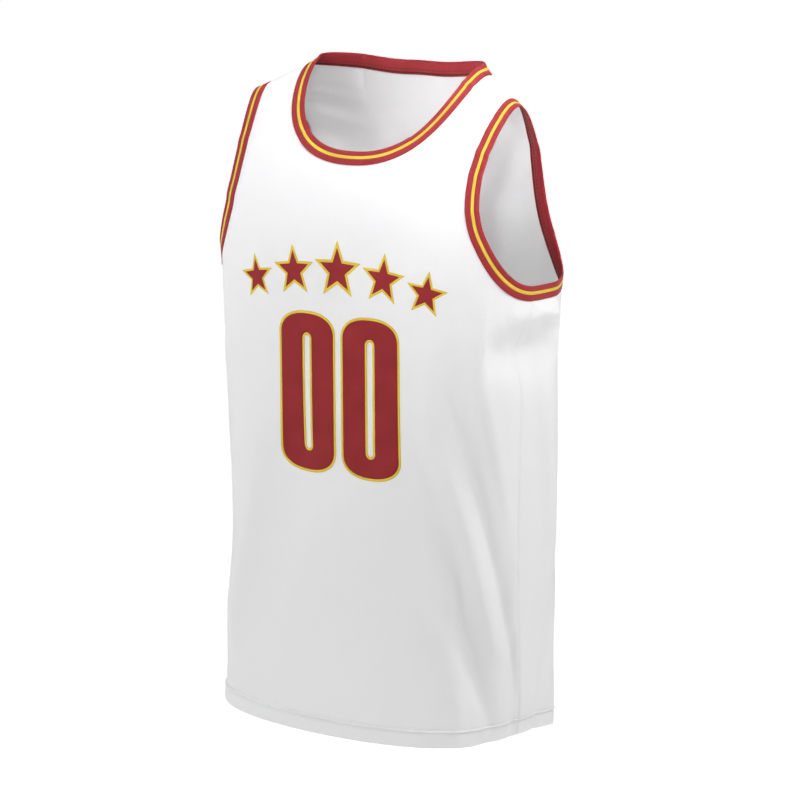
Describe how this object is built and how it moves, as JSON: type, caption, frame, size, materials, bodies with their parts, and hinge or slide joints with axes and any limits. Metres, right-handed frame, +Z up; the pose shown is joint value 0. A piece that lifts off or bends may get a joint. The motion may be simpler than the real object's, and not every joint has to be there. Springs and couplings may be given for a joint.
{
  "type": "basketball jersey",
  "caption": "Sleeveless basketball jersey in white knit with crimson striped bands round the neck and armholes, held in its worn shape with nobody in it.",
  "frame": {"origin": "midway between the two neck points, at the height where the wearer's shoulders carry the jersey", "axes": "+X towards the wearer's left, the front faces -Y, +Z up"},
  "size_m": [0.4392, 0.221, 0.7742],
  "materials": {
    "white_knit": "smooth polyester mesh knit, faint sheen",
    "crimson_band": "flat knit band with a gold centre stripe"
  },
  "bodies": {
    "root": {"front_panel": "white_knit", "back_panel": "white_knit", "neck_band": "crimson_band", "armhole_band_left": "crimson_band", "armhole_band_right": "crimson_band"}
  },
  "joints": []
}
